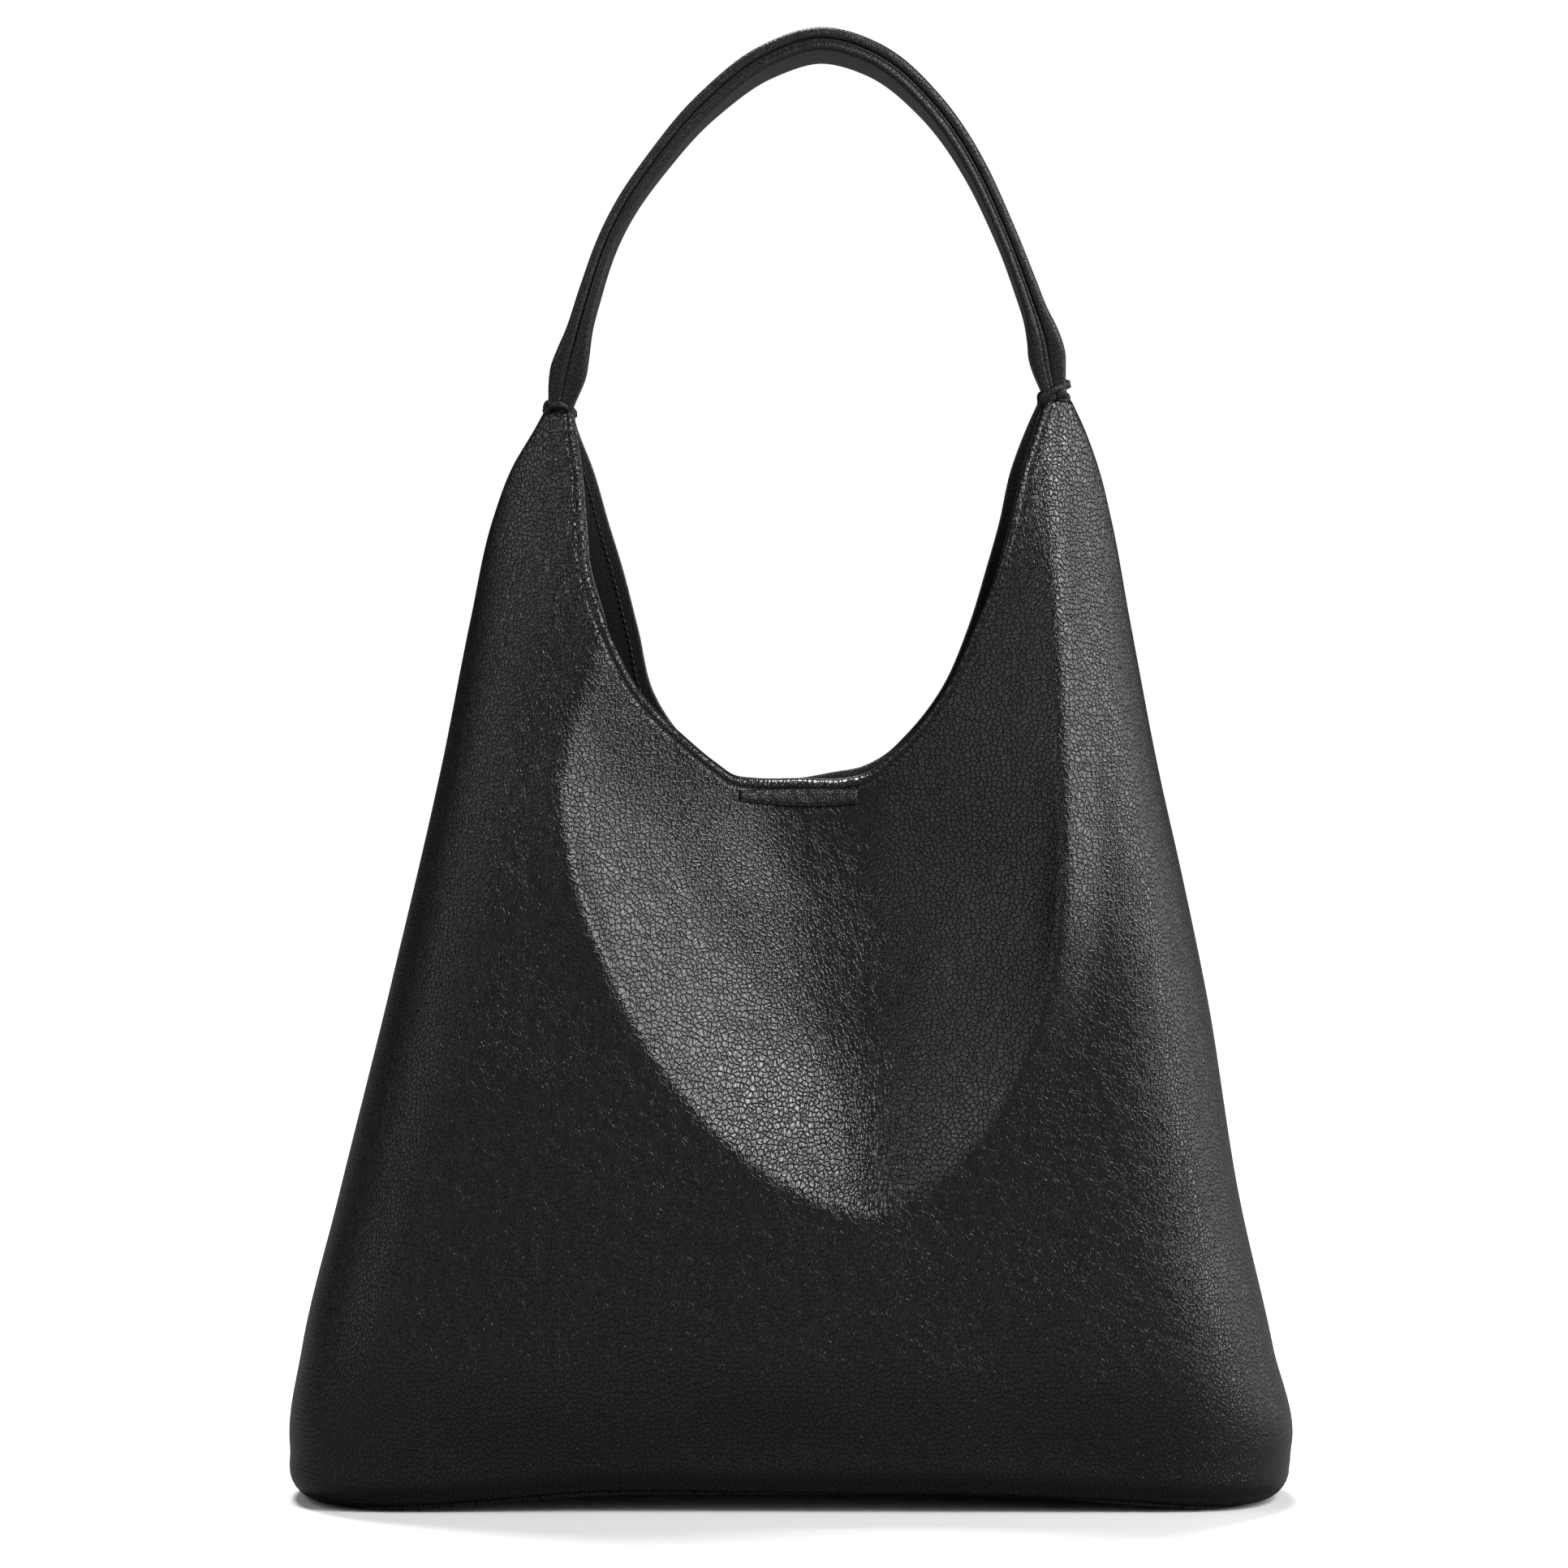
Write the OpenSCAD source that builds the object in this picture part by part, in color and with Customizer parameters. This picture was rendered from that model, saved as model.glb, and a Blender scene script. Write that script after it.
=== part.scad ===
// Slouchy hobo shoulder bag: a tapering soft leather body on a boxed base, a scooped mouth between two
// horns, and one folded leather strap from horn to horn. +Z up, front facing -Y, origin under the middle.

/* [Body] */
// Width across the base
bag_w = 400; // [380:1:420]
// Depth, front to back
bag_d = 120; // [110:1:126]
// Height of the lowest point of the mouth's edge
mouth_z = 285; // [280:1:290]
// Height at which the panels' horns end
tip_z = 424; // [422:1:426]
// How far each side draws in for each unit of height
side_taper = 0.206; // [0.200:0.001:0.212]
// Sideways lean of the strap's top
top_lean = 11; // [0:0.5:12]
// Radius with which the walls roll under the base
base_roll = 12; // [10:0.5:14]

/* [Layers] */
// Thickness of the shell leather
leather_t = 1.4; // [1.2:0.1:1.4]
// Thickness of the facing leather inside the mouth
facing_t = 1; // [0.8:0.1:1]
// Thickness of the lining cloth
lining_t = 0.6; // [0.4:0.1:0.6]
// Width of the facing below the mouth's edge
facing_w = 28; // [24:1:32]

/* [Mouth] */
// Half of the outside depth at the middle of the closed mouth
mouth_half = 6.8; // [6.8:0.1:7.2]
// Half-width of the front's dish, from its middle to its ridge
dish_w = 100; // [95:1:105]
// Height of the front's dish, from the mouth down to its ridge
dish_h = 172; // [165:1:175]
// Height of the back's dish
back_dish_h = 110; // [100:1:112]
// Height of the fold that the front lip opens about
lip_fold_z = 126; // [124:1:130]

/* [Strap] */
// Height of the strap's highest point
strap_top = 585; // [580:1:590]
// Half-distance between the two strap joints
joint_x = 98; // [96:1:100]
// Height of the strap joints
joint_z = 438; // [437:1:439]
// Width of the band, front to back
strap_w = 28; // [24:1:28]
// Thickness of the folded band
strap_t = 9.2; // [8:0.2:10]

/* [Fittings] */
// Diameter of the magnetic snap's halves
snap_r = 8; // [7:0.5:8]
// Height of the snap's middle
snap_z = 272; // [270:1:273]
// Length of the inner zip
zip_l = 150; // [130:1:150]
// Height of the inner zip
zip_z = 195; // [190:1:196]

/* [Hidden] */

leather_c = [0.06, 0.06, 0.065];
facing_c = [0.10, 0.10, 0.11];
lining_c = [0.20, 0.19, 0.18];
board_c = [0.42, 0.36, 0.28];
metal_c = [0.55, 0.55, 0.57];
thread_c = [0.03, 0.03, 0.03];

columns = 32;
roll_rows = 3;
wall_rows = 14;
horn_u = 0.875;          // columns beyond this share of the half-width end on the horn's tip
column_bend = 3;         // how late a column leaves its straight line for the mouth's edge
horn_z = 390;            // the horns start to round off here
horn_round = 5.3;
depth_z = 470;           // height at which the body's depth would run out
depth_n = 2.2;
corner_low = 4;          // squareness of the plan outline at the base, and at the tips
corner_high = 2.4;
thin_n = 0.6;            // how an inward offset fades out towards the side seam
seam_gap = 0.3;
kerf = 0.5;
skin_gap = 0.3;
edge_drop = 6;           // overlap of the lining behind the facing's lower edge

plate_d = leather_t + 0.2;
plate_t = 0.5;
facing_d = 2.8;
front_lining_d = facing_d + facing_t + skin_gap;
back_lining_d = 5;
pocket_d = 2.6;
pocket_t = 1.4;

// Curve handles of the mouth's edge and of the strap's arch, each from the middle plane outwards or inwards
scoop = [[0, mouth_z], [62, mouth_z], [57, mouth_z + 47], [90, tip_z]];
arch_top = strap_top - strap_t / 2;
strap_half = [[joint_x, joint_z], [76, joint_z + 85], [42, arch_top], [0, arch_top]];

function lerp(a, b, t) = a + (b - a) * t;
function flat(rows) = [for (row = rows) for (p = row) p];
function bezier(p, t) = pow(1 - t, 3) * p[0] + 3 * t * pow(1 - t, 2) * p[1]
    + 3 * t * t * (1 - t) * p[2] + pow(t, 3) * p[3];

// The body's outer form: half-width, half-depth, plan outline and dish
function lean(z) = top_lean * pow(z / strap_top, 2);
function half_w(z) = bag_w / 2 - side_taper * max(0, z - base_roll)
    - horn_round * pow(max(0, z - horn_z) / (tip_z - horn_z), 2);
function half_d(z) = bag_d / 2 * (1 - pow(z / depth_z, depth_n));
function corner(z) = lerp(corner_low, corner_high, z / tip_z);
function side(s, z) = sqrt(max(0, 1 - pow(min(1, abs(s)), corner(z))));
function dish(x, z, h) = (1 + cos(180 * min(1, norm([x / dish_w, max(0, mouth_z - z) / h])))) / 2;
function depth(s, z, h) = side(s, z) * lerp(half_d(z), mouth_half, dish(s * half_w(z), z, h));

// A point of the wall at share s of the half-width and height z, offset inwards by d
function wall_pt(s, z, d, h) =
    [s * (half_w(z) - d) + lean(z), -depth(s, z, h) + d * pow(side(s, z), thin_n) - seam_gap / 2, z];
function roll_pt(s, turn, d, h) =
    let (inset = base_roll - (base_roll - d) * sin(turn))
    [s * (half_w(base_roll) - inset),
     -depth(s, base_roll, h) + inset * pow(side(s, base_roll), thin_n) - seam_gap / 2,
     base_roll - (base_roll - d) * cos(turn)];

// The panel's upper edge: the scoop, then across the horn's tip
function edge(u) =
    let (t = abs(u) / horn_u, on_scoop = bezier(scoop, min(1, t)))
    t <= 1 ? on_scoop : [lerp(scoop[3].x, half_w(tip_z), (abs(u) - horn_u) / (1 - horn_u)), tip_z];
function panel_pt(u, v, d, h, low = 0) =
    v < 0 ? roll_pt(sin(90 * u), 90 * (1 + v), d, h) :
    let (e = edge(u),
         top = e.y - low,
         z = lerp(base_roll, top, v),
         s0 = sin(90 * u),
         s1 = sign(u) * e.x / half_w(e.y))
    wall_pt(lerp(s0, s1, pow(v * top / e.y, column_bend)), z, d, h);

function columns_between(u0, u1) =
    let (n = round(columns * (u1 - u0) / 2)) [for (i = [0:n]) lerp(u0, u1, i / n)];
wall_v = [for (j = [0:wall_rows]) j / wall_rows];
panel_v = concat([for (j = [0:roll_rows - 1]) j / roll_rows - 1], wall_v);

// A sheet between an outer and an inner grid of points, closed round its rim
module sheet_solid(outer, inner) {
    n = len(outer);
    m = len(outer[0]);
    all = n * m;
    quads = concat(
        [for (j = [0:n - 2]) for (i = [0:m - 2]) let (a = j * m + i) [a, a + m, a + m + 1, a + 1]],
        [for (j = [0:n - 2]) for (i = [0:m - 2]) let (a = j * m + i + all) [a, a + 1, a + m + 1, a + m]],
        [for (i = [0:m - 2]) [i, i + 1, i + 1 + all, i + all]],
        [for (i = [0:m - 2]) let (a = (n - 1) * m + i) [a + 1, a, a + all, a + 1 + all]],
        [for (j = [0:n - 2]) let (a = j * m) [a + m, a, a + all, a + m + all]],
        [for (j = [0:n - 2]) let (a = j * m + m - 1) [a, a + m, a + m + all, a + all]]);
    polyhedron(concat(flat(outer), flat(inner)), halved(quads));
}
function halved(quads) = [for (q = quads) each [[q[0], q[1], q[2]], [q[0], q[2], q[3]]]];

// A tube through rings of four points, closed at both ends
module band_solid(rings) {
    n = len(rings);
    sides = [for (k = [0:n - 2]) for (i = [0:3]) let (a = 4 * k, b = (i + 1) % 4)
        [a + i, a + 4 + i, a + 4 + b, a + b]];
    ends = [[0, 1, 2, 3], [4 * n - 1, 4 * n - 2, 4 * n - 3, 4 * n - 4]];
    polyhedron(flat(rings), halved(concat(sides, ends)));
}

// A full panel, a strip along the mouth, and a patch over part of a panel
module panel(d, t, h, low = 0, reach = 1) {
    us = columns_between(-reach, reach);
    sheet_solid([for (v = panel_v) [for (u = us) panel_pt(u, v, d, h, low)]],
                [for (v = panel_v) [for (u = us) panel_pt(u, v, d + t, h, low)]]);
}
strip_reach = 0.75;      // share of the half-width that the facing runs to
module mouth_strip(d, t, h, width) {
    us = columns_between(-strip_reach, strip_reach);
    function v_low(u) = 1 - width / (edge(u).y - base_roll);
    sheet_solid([for (k = [0:2]) [for (u = us) panel_pt(u, lerp(v_low(u), 1, k / 2), d, h)]],
                [for (k = [0:2]) [for (u = us) panel_pt(u, lerp(v_low(u), 1, k / 2), d + t, h)]]);
}
module patch(xs, zs, d, t, h, nx, nz) {
    function pt(i, k, e) =
        let (z = lerp(zs[0], zs[1], k / nz)) wall_pt(lerp(xs[0], xs[1], i / nx) / half_w(z), z, e, h);
    sheet_solid([for (k = [0:nz]) [for (i = [0:nx]) pt(i, k, d)]],
                [for (k = [0:nz]) [for (i = [0:nx]) pt(i, k, d + t)]]);
}
module at_back() { mirror([0, 1, 0]) children(); }

// The part of the front that opens as a lip, between two slightly spread cuts
lip_low_x = 44;
lip_high_x = 52;
lip_top_z = 340;
module lip_block(grow = 0) {
    mid = lean(mouth_z);
    outline = [[mid - lip_low_x - grow, lip_fold_z - grow], [mid + lip_low_x + grow, lip_fold_z - grow],
               [mid + lip_high_x + grow, lip_top_z], [mid - lip_high_x - grow, lip_top_z]];
    rotate([90, 0, 0]) linear_extrude(bag_d) polygon(outline);
}
module half_space(left) {
    translate([left ? -bag_w : 0, -bag_d, 0]) cube([bag_w, bag_d, strap_top]);
}

module front_panel() {
    color(leather_c) difference() {
        panel(0, leather_t, dish_h);
        lip_block(kerf);
    }
}
module front_lip() {
    color(leather_c) intersection() {
        panel(0, leather_t, dish_h);
        lip_block();
    }
}
module back_panel() {
    color(leather_c) at_back() panel(0, leather_t, back_dish_h);
}

// Flat pieces of the base, each an even inset of the base's outline
module base_plate(inset, z, t) {
    ss = columns_between(-1, 1);
    function pt(u) = let (s = sin(90 * u))
        [s * (half_w(base_roll) - base_roll - inset),
         -depth(s, base_roll, dish_h) + (base_roll + inset) * pow(side(s, base_roll), thin_n)];
    front = [for (u = ss) pt(u)];
    back = [for (i = [len(ss) - 2:-1:1]) [front[i].x, -front[i].y]];
    translate([0, 0, z]) linear_extrude(t) polygon(concat(front, back));
}
board_z = leather_t + skin_gap + 0.3;
board_t = 2.5;
module base_panel() { color(leather_c) base_plate(skin_gap, 0, leather_t + 0.2); }
module base_board() { color(board_c) base_plate(2, board_z, board_t); }
module lining_base() { color(lining_c) base_plate(1, board_z + board_t + skin_gap, lining_t); }

module facing_front() { mouth_strip(facing_d, facing_t, dish_h, facing_w); }
module facing_front_lip() { color(facing_c) intersection() { facing_front(); lip_block(); } }
module facing_front_side(left) {
    color(facing_c) intersection() {
        difference() {
            facing_front();
            lip_block(kerf);
        }
        half_space(left);
    }
}
module facing_back() { color(facing_c) at_back() mouth_strip(facing_d, facing_t, back_dish_h, facing_w); }

lining_low = facing_w - edge_drop;
module front_lining_sheet() { panel(front_lining_d, lining_t, dish_h, lining_low); }
module lining_front() {
    color(lining_c) difference() {
        front_lining_sheet();
        lip_block(kerf);
    }
}
module lining_front_lip() { color(lining_c) intersection() { front_lining_sheet(); lip_block(); } }
window_l = zip_l + 4;
window_h = 15;
module lining_back() {
    color(lining_c) difference() {
        at_back() panel(back_lining_d, lining_t, back_dish_h, lining_low);
        translate([zip_x - window_l / 2, bag_d / 4, zip_z - window_h / 2]) cube([window_l, bag_d / 2, window_h]);
    }
}

tape_half = 3;
tape_in = [2.5, 3.7];    // inset of the tape at its lower and upper end
tape_t = 0.6;
tape_low = 25;
tape_high = 340;
module side_tape(way) {
    steps = 12;
    rings = [for (k = [0:steps]) let (z = lerp(tape_low, tape_high, k / steps),
                                     x1 = half_w(z) - lerp(tape_in[0], tape_in[1], pow(k / steps, 3)),
                                     x0 = x1 - tape_t)
        [[way * x0 + lean(z), -way * tape_half, z], [way * x1 + lean(z), -way * tape_half, z],
         [way * x1 + lean(z), way * tape_half, z], [way * x0 + lean(z), way * tape_half, z]]];
    color(lining_c) band_solid(rings);
}

tab_half = 23;
tab_z = [275.5, 282.5];
tab_t = 1.2;
tab_gap = 0.9;           // clears the flat facets of the concave panel behind it
module closure_tab() {
    color(leather_c) patch([-tab_half, tab_half], tab_z, -tab_t - tab_gap, tab_t, dish_h, 8, 2);
}

// Magnetic snap: a stud half on the lip and a socket half on the back, each with a backing plate
snap_x = lean(snap_z);
snap_out = 2.6;
stud_r = 2.5;
stud_l = 1.6;
socket_r = 3.6;
socket_l = 1.9;
face_gap = 0.2;
module along_y(x, y, z) { translate([x, y, z]) rotate([-90, 0, 0]) children(); }
module snap_stud_half() {
    color(metal_c) along_y(snap_x, -snap_out - face_gap, snap_z) {
        cylinder(h = snap_out, r = snap_r, $fn = 64);
        cylinder(h = snap_out + stud_l, r = stud_r, $fn = 48);
    }
}
module snap_socket_half() {
    color(metal_c) difference() {
        along_y(snap_x, face_gap, snap_z) cylinder(h = snap_out, r = snap_r, $fn = 64);
        along_y(snap_x, 0, snap_z) cylinder(h = socket_l, r = socket_r, $fn = 48);
    }
}
module snap_plate(h) { patch([-6, 6], [snap_z - 6, snap_z + 6], plate_d, plate_t, h, 4, 4); }
module snap_stud_plate() { color(metal_c) snap_plate(dish_h); }
module snap_socket_plate() { color(metal_c) at_back() snap_plate(back_dish_h); }

// Zip pocket on the inside of the back: pouch behind the lining, welt frame, zip, slider and pull
zip_x = lean(zip_z);
zip_back = depth(0, zip_z + 10, back_dish_h) - back_lining_d - lining_t;
welt_t = 1;
welt_y = zip_back - 3.2;
tape_y = welt_y + welt_t + 0.2;
zip_tape_t = 0.6;
zip_tape_h = 5;
teeth_y = tape_y - 0.4;
teeth_t = 1.4;
teeth_h = 1.5;
teeth_gap = 0.45;        // half of the space between the rows, which the slider's wedge runs in
tooth_pitch = 3;
welt_frame = 6;
stop_l = 3;
slider_l = 8;
slider_h = 6.4;
slider_t = 0.8;
slide_from = -zip_l / 2 + stop_l + 1 + slider_l / 2;
pocket_half = 78;
pocket_z = [70, 202];
module zip_pocket_bag() {
    color(lining_c) at_back() patch([-pocket_half, pocket_half], pocket_z, pocket_d, pocket_t, back_dish_h, 12, 8);
}
module zip_welt() {
    color(leather_c) translate([zip_x, welt_y, zip_z]) difference() {
        translate([-zip_l / 2 - welt_frame, 0, -window_h / 2 - 3])
            cube([zip_l + 2 * welt_frame, welt_t, window_h + 6]);
        translate([-zip_l / 2, -1, -slider_h / 2 - 0.6]) cube([zip_l, welt_t + 2, slider_h + 1.2]);
    }
}
module zip_tape(way) {
    low = way > 0 ? teeth_gap + teeth_h + 0.1 : -teeth_gap - teeth_h - 0.1 - zip_tape_h;
    color(thread_c) translate([zip_x - zip_l / 2, tape_y, zip_z + low]) cube([zip_l, zip_tape_t, zip_tape_h]);
}
module zip_teeth(way) {
    count = floor((zip_l - 2 * stop_l - 2) / tooth_pitch);
    start = -count * tooth_pitch / 2;
    spine = 0.6;
    color(metal_c) translate([zip_x, teeth_y, zip_z]) scale([1, 1, way]) {
        translate([start, 0, teeth_gap + teeth_h - spine]) cube([count * tooth_pitch, teeth_t, spine]);
        for (i = [0:count - 1])
            translate([start + i * tooth_pitch, 0, teeth_gap])
                cube([tooth_pitch / 2, teeth_t, teeth_h - spine]);
    }
}
module zip_stop(way) {
    x = way * (zip_l / 2 - stop_l / 2);
    color(metal_c) translate([zip_x + x - stop_l / 2, teeth_y, zip_z - teeth_gap - teeth_h])
        cube([stop_l, teeth_t, 2 * (teeth_gap + teeth_h)]);
}
bail_r = 0.7;
bail_out = 2.4;
bail_y = teeth_y - 0.2 - slider_t - bail_out;
eye_r = 1.1;
module zip_slider() {
    front = teeth_y - 0.2 - slider_t;
    back = teeth_y + teeth_t + 0.2;
    color(metal_c) translate([zip_x + slide_from, 0, zip_z]) {
        for (y = [front, back])
            translate([-slider_l / 2, y, -slider_h / 2]) cube([slider_l, slider_t, slider_h]);
        translate([-slider_l / 2, front, -teeth_gap + 0.15])
            cube([2, back - front + slider_t, 2 * teeth_gap - 0.3]);
        for (x = [-slider_l / 2, slider_l / 2 - 1.4])
            translate([x, bail_y, -bail_r]) cube([1.4, bail_out + 0.1, 2 * bail_r]);
        translate([-slider_l / 2, bail_y, 0]) rotate([0, 90, 0]) cylinder(h = slider_l, r = bail_r, $fn = 32);
    }
}
pull_w = 4.4;
pull_l = 24;
module zip_puller() {
    color(metal_c) translate([zip_x + slide_from, bail_y, zip_z]) {
        rotate([0, 90, 0]) difference() {
            cylinder(h = pull_w, r = eye_r + 1, center = true, $fn = 48);
            cylinder(h = pull_w + 2, r = eye_r, center = true, $fn = 48);
        }
        translate([-pull_w / 2, -0.6, -pull_l]) cube([pull_w, 1.2, pull_l - eye_r - 0.4]);
    }
}

// Strap joints: a gathered neck on each horn, and a rounded strap end turning on it
joint_r = 6;
joint_l = 14;
neck_w = 9;
neck_d = 6.8;
neck_low = 404;
module at_joint(way) { translate([way * joint_x + lean(joint_z), 0, joint_z]) children(); }
module horn_neck(way) {
    color(leather_c) difference() {
        at_joint(way) translate([-neck_w / 2, -neck_d / 2, neck_low - joint_z])
            cube([neck_w, neck_d, joint_z - neck_low - joint_r / 2]);
        at_joint(way) rotate([0, 90, 0])
            cylinder(h = joint_l + 2, r = joint_r + skin_gap + 0.1, center = true, $fn = 64);
    }
}
strap_from = 0.055;
end_top = strap_point(strap_from).y;
module strap_end(way) {
    color(leather_c) at_joint(way) {
        rotate([0, 90, 0]) cylinder(h = joint_l, r = joint_r, center = true, $fn = 64);
        translate([-neck_w / 2, -3, 0]) cube([neck_w, 6, end_top - joint_z - 2]);
    }
}

// The folded band: two leather layers round a webbing core, swept along the strap's arch
strap_rings = 44;
core_t = 2.4;
function strap_point(t) = bezier(strap_half, t);
function strap_at(q) = let (p = strap_point(1 - abs(q))) [sign(q) * p.x + lean(p.y), p.y];
function strap_normal(q) =
    let (e = 0.004, d = strap_at(min(1, q + e)) - strap_at(max(-1, q - e)), n = norm(d)) [-d.y / n, d.x / n];
function band_half(q) = lerp(7, strap_w / 2, min(1, (1 - abs(q) - strap_from) / 0.2));
module strap_layer(n0, n1, narrow) {
    last = 1 - strap_from;
    rings = [for (k = [0:strap_rings]) let (q = lerp(-last, last, k / strap_rings), c = strap_at(q),
                                           n = strap_normal(q), w = band_half(q) - narrow)
        [[c.x + n.x * n0, -w, c.y + n.y * n0], [c.x + n.x * n1, -w, c.y + n.y * n1],
         [c.x + n.x * n1, w, c.y + n.y * n1], [c.x + n.x * n0, w, c.y + n.y * n0]]];
    band_solid(rings);
}
module strap_outer() { color(leather_c) strap_layer(core_t / 2 + 0.2, strap_t / 2, 0); }
module strap_core() { color(lining_c) strap_layer(-core_t / 2, core_t / 2, 3); }
module strap_inner() { color(leather_c) strap_layer(-strap_t / 2, -core_t / 2 - 0.2, 0); }

front_panel();
front_lip();
back_panel();
base_panel();
base_board();
facing_front_lip();
facing_front_side(true);  // facing_front_left
facing_front_side(false);  // facing_front_right
facing_back();
lining_front();
lining_front_lip();
lining_back();
lining_base();
side_tape(-1);  // side_tape_left
side_tape(1);  // side_tape_right
closure_tab();
snap_stud_half();
snap_socket_half();
snap_stud_plate();
snap_socket_plate();
zip_pocket_bag();
zip_welt();
zip_tape(1);  // zip_tape_upper
zip_tape(-1);  // zip_tape_lower
zip_teeth(1);  // zip_teeth_upper
zip_teeth(-1);  // zip_teeth_lower
zip_stop(-1);  // zip_stop_left
zip_stop(1);  // zip_stop_right
zip_slider();
zip_puller();
horn_neck(-1);  // horn_neck_left
horn_neck(1);  // horn_neck_right
strap_end(-1);  // strap_end_left
strap_end(1);  // strap_end_right
strap_outer();
strap_core();
strap_inner();
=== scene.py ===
"""Looks of the slouchy hobo shoulder bag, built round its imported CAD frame. Shapes are in millimetres."""

import bmesh
import bpy
import numpy as np
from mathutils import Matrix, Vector


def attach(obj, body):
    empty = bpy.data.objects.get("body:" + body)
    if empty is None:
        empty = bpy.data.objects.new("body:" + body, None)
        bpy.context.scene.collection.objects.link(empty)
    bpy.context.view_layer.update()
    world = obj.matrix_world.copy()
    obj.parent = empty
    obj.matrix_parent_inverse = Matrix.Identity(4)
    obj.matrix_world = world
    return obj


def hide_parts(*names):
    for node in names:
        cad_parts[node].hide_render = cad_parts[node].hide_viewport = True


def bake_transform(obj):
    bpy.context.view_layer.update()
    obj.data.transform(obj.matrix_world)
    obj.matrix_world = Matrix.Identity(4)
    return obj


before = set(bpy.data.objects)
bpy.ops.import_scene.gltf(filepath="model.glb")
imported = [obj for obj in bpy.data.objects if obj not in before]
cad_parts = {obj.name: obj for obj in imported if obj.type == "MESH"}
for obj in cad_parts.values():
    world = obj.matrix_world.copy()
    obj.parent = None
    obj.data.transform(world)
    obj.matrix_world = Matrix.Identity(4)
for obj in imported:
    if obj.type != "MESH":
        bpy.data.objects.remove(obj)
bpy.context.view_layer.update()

MM = 0.001

# ---------------------------------------------------------------- outlines
# Outer sides of the body: (height, x)
LEFT_SIDE = [(-6, -188), (0, -190), (6, -198), (20, -200.5), (60, -195.5), (120, -181), (200, -161), (290, -140),
             (350, -128), (390, -119), (410, -111.5), (428, -101), (438, -96), (446, -93)]
RIGHT_SIDE = [(-6, 184), (0, 186), (6, 195), (20, 199.5), (60, 192), (120, 178.5), (200, 165.5), (250, 155), (290, 146),
              (350, 134.5), (390, 127), (410, 122), (428, 115.3), (438, 110.5), (446, 107)]
# Mouth's edge of the front and of the back, from the left horn's tip to the right one's: (x, height)
FRONT_EDGE = [(-88.5, 440), (-87, 426), (-84.5, 410), (-82.6, 390), (-80.5, 370), (-72, 345), (-59.5, 321),
              (-41.2, 302), (-30, 292.6), (-21.5, 287), (-14, 285.9), (3, 285.7), (22, 285.8), (29.5, 287.8),
              (37, 294), (46, 302.5), (60, 321), (71, 344), (80, 366), (87, 390), (91.5, 409), (97, 425), (102, 440)]
BACK_EDGE = [(-90, 440), (-87, 427), (-80, 409), (-74, 389), (-68, 370), (-61.5, 345), (-55.5, 320.5), (-41.5, 300),
             (-30, 290), (-21, 285), (-12, 284), (3, 285.4), (16, 287.8), (28, 290.2), (37, 295), (45.5, 303),
             (60, 322), (70.5, 346), (78, 370), (83.5, 389), (88, 409), (94, 425), (101, 440)]
TIP_Z = 440          # height of the horns' tips
BASE_HALF = 60       # half of the depth at the base
ROLL = 12            # radius of the turn under the base
UNDER_ROWS = 8       # rows of points in that turn
UNDER_POWER = 0.6    # how the turn draws in at the bag's two ends
DEPTH_Z = 470        # the body's depth would run out at this height
DEPTH_POWER = 2.2    # how it runs out towards that height
MOUTH_Z = 285        # height of the mouth's middle
MOUTH_HALF = 6.8     # half of the depth at the middle of the closed mouth
SEAM_GAP = 0.3       # between front and back along the sides
TIP_U = 0.93         # columns beyond this share end on the horn's tip
TURN_IN = 2.6        # thickness of the folded hem along the mouth
LEATHER = 1.4        # thickness of the shell below the hem
SLACK = 1.2          # height of the leather's gentle unevenness
FAR_BELOW = 400.0    # distance from the mouth's edge given to the rows under the base
FRONT_SEED, BACK_SEED = 11, 23


def spline(ts, vs, at):
    """Smooth curve through the values vs at ts."""
    ts, vs = np.asarray(ts, float), np.asarray(vs, float)
    at = np.clip(np.asarray(at, float), ts[0], ts[-1])
    slope = np.gradient(vs, ts, axis=0)
    k = np.clip(np.searchsorted(ts, at, side="right") - 1, 0, len(ts) - 2)
    h = ts[k + 1] - ts[k]
    r = (at - ts[k]) / h
    if vs.ndim == 2:
        h, r = h[..., None], r[..., None]
    return (
        (2 * r**3 - 3 * r**2 + 1) * vs[k]
        + (r**3 - 2 * r**2 + r) * h * slope[k]
        + (3 * r**2 - 2 * r**3) * vs[k + 1]
        + (r**3 - r**2) * h * slope[k + 1]
    )


def curve(points, at):
    """Smooth curve through (t, value) pairs."""
    ts, vs = zip(*points)
    return spline(ts, vs, at)


def run(p):
    """Distance along a line from its first point to each of its points."""
    return np.r_[0, np.cumsum(np.linalg.norm(np.diff(p, axis=0), axis=1))]


def unit(v):
    """Vectors made 1 long."""
    return v / np.maximum(np.linalg.norm(v, axis=-1, keepdims=True), 1e-9)


def along(points, n=None, at=None):
    """Points at equal or given shares of the length of a smooth line through points."""
    p = np.asarray(points, float)
    s = run(p)
    fine = spline(s, p, np.linspace(0, s[-1], 1500))
    length = run(fine)
    share = np.linspace(0, 1, n) if at is None else np.asarray(at, float)
    return np.stack([np.interp(share * length[-1], length, fine[:, i]) for i in range(p.shape[1])], axis=-1)


def step(x, low, high):
    """Smooth rise from 0 at low to 1 at high."""
    t = np.clip((np.asarray(x, float) - low) / (high - low), 0, 1)
    return t * t * (3 - 2 * t)


def lerp(a, b, t):
    """From a to b as t goes from 0 to 1."""
    return a + (b - a) * t


def positive(q, soft):
    """q where it is positive and 0 elsewhere, with a soft corner between."""
    return (q + np.sqrt(q * q + soft**2)) / 2


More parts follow.
